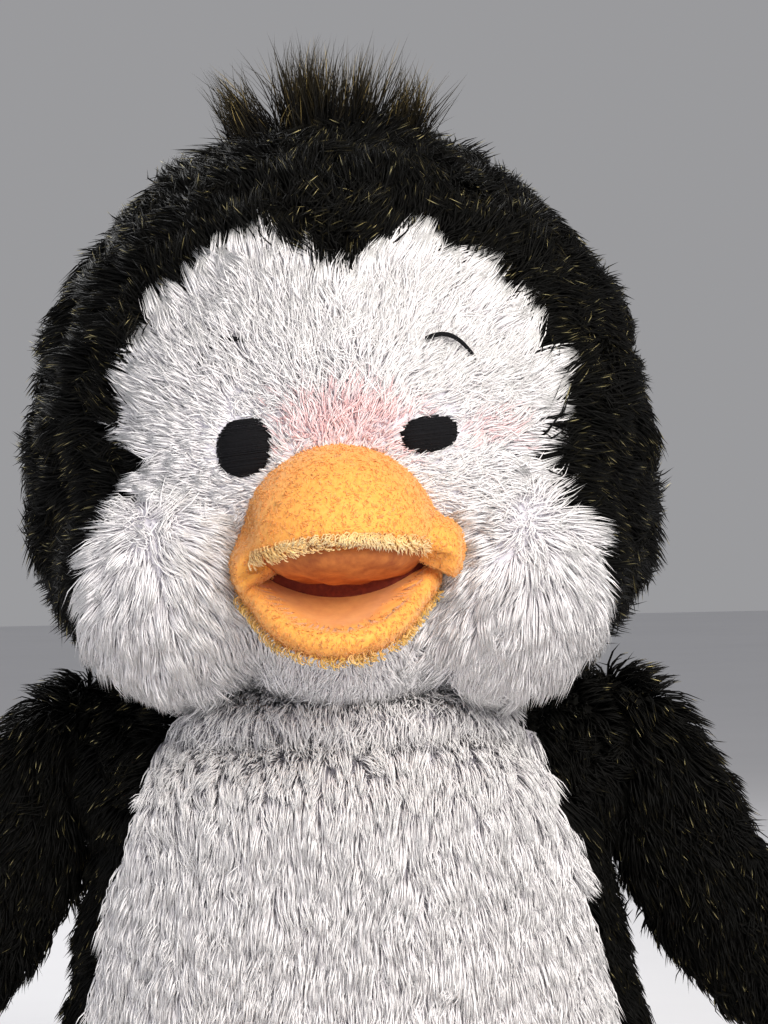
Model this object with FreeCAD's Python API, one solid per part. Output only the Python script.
"""A stuffed plush penguin that sits upright, built from its sewn panels and fillings.

Units are millimetres. +Z is up, the penguin faces -Y, and its own left side is +X.
The origin is the middle of the flat base that it rests on.
Every plush panel is a shell as thick as its cloth with the pile pressed half down.
Soft forms are made of spheres, tori, cones and cylinders, so their cuts stay exact.
"""

import FreeCAD, Part
import math
import os

Vector = FreeCAD.Vector

# Cloth and clearances
PLUSH = 5.0            # long-pile cloth with its pile pressed half down
VELOUR = 2.5           # short-pile cloth of the beak and feet
LINING = 1.6           # smooth cloth inside the mouth
BAG_CLOTH = 1.0        # the inner bag's thin cloth
STITCH = 1.4           # height of embroidered thread above the cloth
FIT = 1.0              # clearance between a panel and what fills it
SEAM_GAP = 0.4         # clearance between parts that are sewn to each other
JOINT_GAP = 1.5        # clearance between bodies that move past each other

# Torso: a barrel with a flat base, rounded corners and narrower shoulders
BASE_FLAT_RADIUS = 54.0
BASE_ROUNDING = 26.0
WAIST_RADIUS = 80.0
WAIST_TOP = 60.0
SHOULDER_FLAT_RADIUS = 40.0
SHOULDER_ROUNDING = 28.0
TORSO_TOP = 149.0
BELLY_HALF = [(0, 139), (27, 138), (46, 128), (66, 100), (70, 64), (66, 30), (46, 12),
              (25, 7), (0, 6)]

# Head
HEAD_RADIUS = 79.0
HEAD_CENTRE_Z = 230.0
FACE_HALF = [(0, 275), (24, 289), (50, 277), (66, 250), (57, 219), (71, 198), (52, 170),
             (28, 152), (0, 146)]
GUSSET_HALF_WIDTH = 20.0

# Cheeks
CHEEK_CENTRE = (43.0, -41.0, 191.0)
CHEEK_RADIUS = 32.0

# Eyes, brows and tuft
EYE_CENTRE = (25.0, 228.0)
EYE_RADIUS = 7.3
BROW_INNER = 23.0
BROW_OUTER = 36.0
BROW_FOOT = 250.0
BROW_TOP = 256.0
BROW_WIDTH = 1.6
TUFT_BUNCHES = 3
TUFT_SPACING = 22.0
TUFT_ROOT_RADIUS = 6.0
TUFT_TIP_RADIUS = 10.5
TUFT_ROOT_Z = 296.0
TUFT_TOP = 335.0

# Beak
BEAK_CENTRE = (0.0, -70.0, 197.0)
BEAK_RADIUS = 31.0
JAW_HINGE = (-68.0, 193.0)
JAW_START = 4.0        # the jaw begins this far in front of its hinge line
JAW_HALF_WIDTH = 29.0
JAW_DEPTH = 13.0
JAW_CENTRE_Y = -73.0
JAW_DISH = 5.0         # depth of the hollow in the jaw
JAW_REST_ANGLE = 32.0  # how far the jaw hangs open at rest

# Neck
NECK_CENTRE_Z = 172.0  # the head nods about this height
NECK_RADIUS = 25.0
NECK_SWING = 16.0      # half angle of the hollow in the head that the neck swings in

# Flippers: outline in the plane that faces forward, from the shoulder round the tip
FLIPPER_OUTLINE = [(67, 150), (87, 149), (105, 128), (118, 104), (125, 78), (119, 63),
                   (104, 68), (88, 84), (76, 103), (72, 127)]
FLIPPER_CENTRE = (95.0, 108.0)
FLIPPER_THICKNESS = 22.0
FLIPPER_EDGE = 8.0     # thickness this far from the middle
FLIPPER_REACH = 56.0
FLIPPER_PLUSH = 4.0
SHOULDER_SEAM_LOW = (73.2, 104.0)
SHOULDER_SEAM_HIGH = (64.0, 150.0)
FLIPPER_ROOT_ANGLE = 38.0  # half angle that the flipper opens to from its seam

# Feet
FOOT_RADIUS = 25.0
FOOT_SINK = 3.0        # how far the foot's round centre lies below the floor
FOOT_X = 35.0
HEEL_Y = -74.0
TOE_Y = -88.0
TOE_NOTCH_RADIUS = 4.5
TOE_NOTCH_OFFSET = 9.0
ANKLE = (-62.0, 6.0)   # the foot lifts about this line
FOOT_LIFT = 20.0

# Weight bag, closing seam and label
BAG_CENTRE_Z = 25.0
BAG_RADIUS = 46.0
BAG_THICKNESS = 28.0
SEAM_LOW = 45.0
SEAM_HIGH = 95.0
SEAM_STITCHES = 9
STITCH_LENGTH = 5.0
STITCH_WIDTH = 1.4
LABEL_THICKNESS = 1.0
LABEL_LENGTH = 16.0
LABEL_LOW = 32.0
LABEL_HIGH = 48.0

FAR = 400.0            # longer than the whole penguin


def box(low, high):
    size = [b - a for a, b in zip(low, high)]
    return Part.makeBox(*size, Vector(*low))


def half_space(sign):
    """Everything on one side of the plane x = 0."""
    low = 0 if sign > 0 else -FAR
    return box((low, -FAR, -FAR), (low + FAR, FAR, FAR))


def above(height):
    return box((-FAR, -FAR, height), (FAR, FAR, FAR))


def in_front_of(y):
    return box((-FAR, -FAR, -FAR), (FAR, y, FAR))


def ball(radius, centre):
    return Part.makeSphere(radius, Vector(*centre))


def flipped(shape):
    return shape.mirror(Vector(0, 0, 0), Vector(1, 0, 0))


def turned(shape, pivot, axis, degrees):
    copy = shape.copy()
    copy.rotate(Vector(*pivot), Vector(*axis), degrees)
    return copy


def both_sides(name, shape):
    return {name + "_left": shape, name + "_right": flipped(shape)}


def arc_chain(points):
    """Arcs through each point, the next one and the one after, end to end."""
    return [Part.Arc(*points[i:i + 3]).toShape() for i in range(0, len(points) - 2, 2)]


def front_prism(points, back=0.0):
    """Everything in front of y = back inside a closed chain of arcs through (x, z) points."""
    places = [Vector(x, back, z) for x, z in points]
    outline = Part.Wire(arc_chain(places + places[:1]))
    return Part.Face(outline).extrude(Vector(0, -FAR, 0))


def mirrored(half):
    """Points down the +X side from the middle, then back up the -X side."""
    return half + [(-x, z) for x, z in reversed(half[1:-1])]


def lens(radius, thickness, centre, across):
    """Two equal balls' common part: a round lens that is thin along the axis across."""
    curve = (radius ** 2 + (thickness / 2) ** 2) / thickness
    shift = Vector(*across) * (curve - thickness / 2)
    middle = Vector(*centre)
    return Part.makeSphere(curve, middle + shift).common(Part.makeSphere(curve, middle - shift))


def torso_form(inwards=0.0):
    """The barrel, with its surface moved inwards."""
    base_round = BASE_ROUNDING - inwards
    top_round = SHOULDER_ROUNDING - inwards
    slant = math.sqrt(0.5)
    low = Vector(BASE_FLAT_RADIUS, 0, inwards)
    low_mid = Vector(BASE_FLAT_RADIUS + base_round * slant, 0,
                     BASE_ROUNDING - base_round * slant)
    low_end = Vector(WAIST_RADIUS - inwards, 0, BASE_ROUNDING)
    waist = Vector(WAIST_RADIUS - inwards, 0, WAIST_TOP)
    shoulder = Vector(SHOULDER_FLAT_RADIUS + top_round, 0, TORSO_TOP - SHOULDER_ROUNDING)
    top_mid = Vector(SHOULDER_FLAT_RADIUS + top_round * slant, 0,
                     TORSO_TOP - SHOULDER_ROUNDING + top_round * slant)
    top = Vector(SHOULDER_FLAT_RADIUS, 0, TORSO_TOP - inwards)
    axis_top = Vector(0, 0, TORSO_TOP - inwards)
    axis_low = Vector(0, 0, inwards)
    edges = [
        Part.Arc(low, low_mid, low_end).toShape(),
        Part.makeLine(low_end, waist),
        Part.makeLine(waist, shoulder),
        Part.Arc(shoulder, top_mid, top).toShape(),
        Part.makeLine(top, axis_top),
        Part.makeLine(axis_top, axis_low),
        Part.makeLine(axis_low, low),
    ]
    return Part.Face(Part.Wire(edges)).revolve(Vector(0, 0, 0), Vector(0, 0, 1), 360)


def head_form(inwards=0.0):
    return ball(HEAD_RADIUS - inwards, (0, 0, HEAD_CENTRE_Z))


def torso_nodes():
    shell = torso_form().cut(torso_form(PLUSH))
    base = Part.makeCylinder(BASE_FLAT_RADIUS, PLUSH)
    belly = front_prism(mirrored(BELLY_HALF))
    walls = shell.cut(base)
    back = walls.cut(belly)
    middle = (0, 0, BAG_CENTRE_Z)
    up = (0, 0, 1)
    bag_inside = lens(BAG_RADIUS - 2 * BAG_CLOTH, BAG_THICKNESS - 2 * BAG_CLOTH, middle, up)
    bag_room = lens(BAG_RADIUS + 2 * FIT, BAG_THICKNESS + 2 * FIT, middle, up)
    pellet_size = 2 * (BAG_CLOTH + FIT)
    return {
        "belly_panel": walls.common(belly),
        "back_panel_left": back.common(half_space(1)),
        "back_panel_right": back.common(half_space(-1)),
        "base_panel": base,
        "torso_stuffing": torso_form(PLUSH + FIT).cut(bag_room),
        "pellet_bag": lens(BAG_RADIUS, BAG_THICKNESS, middle, up).cut(bag_inside),
        "pellets": lens(BAG_RADIUS - pellet_size, BAG_THICKNESS - pellet_size, middle, up),
        "closing_seam_thread": closing_seam(),
        "seam_label": seam_label(),
    }


def closing_seam():
    """A row of short stitches that closes the back, lying just outside the cloth."""
    band = torso_form(-STITCH).cut(torso_form())
    pitch = (SEAM_HIGH - SEAM_LOW) / (SEAM_STITCHES - 1)
    half_length = STITCH_LENGTH / 2
    half_width = STITCH_WIDTH / 2
    stitches = []
    for i in range(SEAM_STITCHES):
        z = SEAM_LOW + i * pitch
        low = (-half_length, 0, z - half_width)
        stitches.append(band.common(box(low, (half_length, FAR, z + half_width))))
    return Part.makeCompound(stitches)


def seam_label():
    """A blank folded label that stands out of the left side seam."""
    half = LABEL_THICKNESS / 2
    end = WAIST_RADIUS + LABEL_LENGTH
    label = box((WAIST_RADIUS - 2, -half, LABEL_LOW), (end, half, LABEL_HIGH))
    return label.cut(torso_form(-SEAM_GAP))


def neck_room():
    """The hollow under the head that lets the neck swing inside it."""
    rim = NECK_RADIUS + JOINT_GAP
    depth = 30.0
    spread = rim + depth * math.tan(math.radians(NECK_SWING))
    cone = Part.makeCone(spread, rim, depth, Vector(0, 0, NECK_CENTRE_Z - depth))
    return ball(rim, (0, 0, NECK_CENTRE_Z)).fuse(cone)


def neck_nodes():
    foot = TORSO_TOP + SEAM_GAP
    post = Part.makeCylinder(NECK_RADIUS, NECK_CENTRE_Z - foot, Vector(0, 0, foot))
    top = ball(NECK_RADIUS, (0, 0, NECK_CENTRE_Z)).common(above(NECK_CENTRE_Z))
    return {"neck_stuffing": top.fuse(post).removeSplitter()}


def skull_nodes():
    """The black head panels, the white face and the filling behind them."""
    room = neck_room()
    shell = head_form().cut(head_form(PLUSH)).cut(room)
    face = front_prism(mirrored(FACE_HALF))
    black = shell.cut(face)
    strip = box((-GUSSET_HALF_WIDTH, -FAR, 0), (GUSSET_HALF_WIDTH, FAR, FAR))
    sides = black.cut(strip)
    return {
        "face_panel": shell.common(face),
        "head_gusset": black.common(strip),
        "head_side_left": sides.common(half_space(1)),
        "head_side_right": sides.common(half_space(-1)),
        "head_stuffing": head_form(PLUSH + FIT).cut(room),
    }


def cheek_nodes():
    head = head_form(-SEAM_GAP)
    form = ball(CHEEK_RADIUS, CHEEK_CENTRE).cut(head).cut(ball(BEAK_RADIUS + FIT, BEAK_CENTRE))
    inside = ball(CHEEK_RADIUS - PLUSH, CHEEK_CENTRE)
    filling = ball(CHEEK_RADIUS - PLUSH - FIT, CHEEK_CENTRE).cut(head)
    filling = filling.cut(ball(BEAK_RADIUS + 2 * FIT, BEAK_CENTRE))
    nodes = both_sides("cheek_panel", form.cut(inside))
    nodes.update(both_sides("cheek_stuffing", filling))
    return nodes


def stitched_patch(outline_solid):
    """Embroidery: the part of an outline's prism that lies on the face's surface."""
    return outline_solid.common(head_form(-STITCH).cut(head_form()))


def brow_outline():
    middle = (BROW_INNER + BROW_OUTER) / 2
    edges = []
    for foot, peak in ((BROW_FOOT, BROW_TOP - BROW_WIDTH), (BROW_FOOT + BROW_WIDTH, BROW_TOP)):
        points = [Vector(BROW_INNER, 0, foot), Vector(middle, 0, peak), Vector(BROW_OUTER, 0, foot)]
        edges += arc_chain(points)
    for x in (BROW_INNER, BROW_OUTER):
        edges.append(Part.makeLine(Vector(x, 0, BROW_FOOT), Vector(x, 0, BROW_FOOT + BROW_WIDTH)))
    return Part.Wire(Part.__sortEdges__(edges))


def eye_and_brow_nodes():
    x, z = EYE_CENTRE
    eye = Part.makeCylinder(EYE_RADIUS, FAR, Vector(x, 0, z), Vector(0, -1, 0))
    brow = Part.Face(brow_outline()).extrude(Vector(0, -FAR, 0))
    nodes = both_sides("eye", stitched_patch(eye))
    nodes.update(both_sides("eyebrow", stitched_patch(brow)))
    return nodes


def tuft_node():
    """The long hair on the crown, as the flared bunches that it stands in."""
    crown = head_form(-SEAM_GAP)
    bunches = []
    for i in range(TUFT_BUNCHES):
        x = (i - (TUFT_BUNCHES - 1) / 2) * TUFT_SPACING
        bunch = Part.makeCone(TUFT_ROOT_RADIUS, TUFT_TIP_RADIUS, TUFT_TOP - TUFT_ROOT_Z,
                              Vector(x, 0, TUFT_ROOT_Z))
        bunches.append(bunch.cut(crown))
    return {"hair_tuft": Part.makeCompound(bunches)}


def upper_beak_nodes():
    head = head_form(-SEAM_GAP)
    mouth = BEAK_CENTRE[2]
    lining_top = mouth + LINING
    dome = ball(BEAK_RADIUS, BEAK_CENTRE).common(above(mouth)).cut(head)
    inside = ball(BEAK_RADIUS - VELOUR - FIT, BEAK_CENTRE)
    filling = inside.common(above(lining_top + FIT)).cut(head_form(-FIT))
    return {
        "upper_beak_cover": dome.common(above(lining_top)).cut(
            ball(BEAK_RADIUS - VELOUR, BEAK_CENTRE)),
        "upper_beak_stuffing": filling,
        "palate_lining": dome.cut(above(lining_top)),
    }


def cap_ball(radius, depth, inwards=0.0):
    """A ball whose part below the hinge height is a cap of this radius and depth."""
    curve = (radius ** 2 + depth ** 2) / (2 * depth)
    return ball(curve - inwards, (0, JAW_CENTRE_Y, JAW_HINGE[1] + curve - depth))


def jaw_piece(solid):
    """Swings a piece drawn with the mouth shut down to the jaw's rest angle."""
    hinge_y, hinge_z = JAW_HINGE
    return turned(solid, (0, hinge_y, hinge_z), (1, 0, 0), JAW_REST_ANGLE)


def lower_beak_nodes():
    hinge_y, hinge_z = JAW_HINGE
    front = in_front_of(hinge_y - JAW_START).cut(above(hinge_z))
    form = cap_ball(JAW_HALF_WIDTH, JAW_DEPTH).common(front)
    cloth_inside = cap_ball(JAW_HALF_WIDTH, JAW_DEPTH, VELOUR)
    dish = cap_ball(JAW_HALF_WIDTH - VELOUR, JAW_DISH)
    lining_inside = cap_ball(JAW_HALF_WIDTH - VELOUR, JAW_DISH, -LINING)
    filling = cap_ball(JAW_HALF_WIDTH, JAW_DEPTH, VELOUR + FIT).common(front)
    filling = filling.cut(cap_ball(JAW_HALF_WIDTH - VELOUR, JAW_DISH, -LINING - FIT))
    return {
        "lower_beak_cover": jaw_piece(form.cut(cloth_inside)),
        "lower_beak_lining": jaw_piece(
            lining_inside.common(cloth_inside).common(front).cut(dish)),
        "lower_beak_stuffing": jaw_piece(filling),
    }


def root_wedge():
    """Opens outwards from the shoulder seam, so the flipper swings clear of the torso."""
    (low_x, low_z), (high_x, high_z) = SHOULDER_SEAM_LOW, SHOULDER_SEAM_HIGH
    side = FAR * math.tan(math.radians(FLIPPER_ROOT_ANGLE))
    corners = [Vector(0, 0, -FAR), Vector(FAR, side, -FAR), Vector(FAR, -side, -FAR)]
    wedge = Part.Face(Part.makePolygon(corners + corners[:1])).extrude(Vector(0, 0, 2 * FAR))
    tilt = math.degrees(math.atan2(high_x - low_x, high_z - low_z))
    wedge.rotate(Vector(0, 0, 0), Vector(0, 1, 0), tilt)
    wedge.translate(Vector(low_x, 0, low_z))
    return wedge


def flipper_form(inwards=0.0):
    """A flat leaf that faces forward, thicker in its middle than at its edge."""
    x, z = FLIPPER_CENTRE
    outline = []
    for px, pz in FLIPPER_OUTLINE:
        away = Vector(px - x, 0, pz - z)
        away = away * ((away.Length - inwards) / away.Length)
        outline.append((x + away.x, z + away.z))
    leaf = front_prism(outline, FAR / 2)
    sag = (FLIPPER_THICKNESS - FLIPPER_EDGE) / 2
    curve = (FLIPPER_REACH ** 2 + sag ** 2) / (2 * sag) - inwards
    shift = curve - FLIPPER_THICKNESS / 2 + inwards
    leaf = leaf.common(ball(curve, (x, shift, z))).common(ball(curve, (x, -shift, z)))
    return leaf.common(root_wedge())


def flipper_nodes():
    shell = flipper_form().cut(flipper_form(FLIPPER_PLUSH))
    nodes = both_sides("flipper_front", shell.common(in_front_of(0)))
    nodes.update(both_sides("flipper_back", shell.cut(in_front_of(0))))
    nodes.update(both_sides("flipper_stuffing", flipper_form(FLIPPER_PLUSH + FIT)))
    return nodes


def foot_form(inwards=0.0):
    """One foot with three toes, flat underneath, clear of the torso as far as it lifts."""
    radius = FOOT_RADIUS - inwards
    heel = (FOOT_X, HEEL_Y, -FOOT_SINK)
    toe = (FOOT_X, TOE_Y, -FOOT_SINK)
    middle = Part.makeCylinder(radius, HEEL_Y - TOE_Y, Vector(*toe), Vector(0, 1, 0))
    foot = middle.fuse(ball(radius, heel)).fuse(ball(radius, toe)).common(above(inwards))
    for side in (-1, 1):
        at = Vector(FOOT_X + side * TOE_NOTCH_OFFSET, TOE_Y - FOOT_RADIUS, 0)
        foot = foot.cut(Part.makeCylinder(TOE_NOTCH_RADIUS + inwards, FAR, at))
    torso = torso_form(-JOINT_GAP - inwards)
    for lift in (0, FOOT_LIFT / 2, FOOT_LIFT):
        foot = foot.cut(turned(torso, (0, *ANKLE), (1, 0, 0), lift))
    return foot.removeSplitter()


def foot_nodes():
    form = foot_form()
    upper = form.common(above(VELOUR))
    nodes = both_sides("foot_sole", form.cut(above(VELOUR)))
    nodes.update(both_sides("foot_top", upper.cut(foot_form(VELOUR))))
    nodes.update(both_sides("foot_stuffing", foot_form(VELOUR + FIT)))
    return nodes


def write(nodes):
    os.makedirs("parts", exist_ok=True)
    for name, shape in nodes.items():
        solids = shape.Solids
        result = solids[0] if len(solids) == 1 else Part.makeCompound(solids)
        print(f"{name}: {len(solids)} solids, {result.Volume / 1000:.2f} cm3, "
              f"valid {result.isValid()}")
        result.exportStep(f"parts/{name}.step")


def main():
    nodes = {}
    for maker in (torso_nodes, neck_nodes, skull_nodes, cheek_nodes, eye_and_brow_nodes,
                  tuft_node, upper_beak_nodes, lower_beak_nodes, flipper_nodes, foot_nodes):
        nodes.update(maker())
    write(nodes)


main()
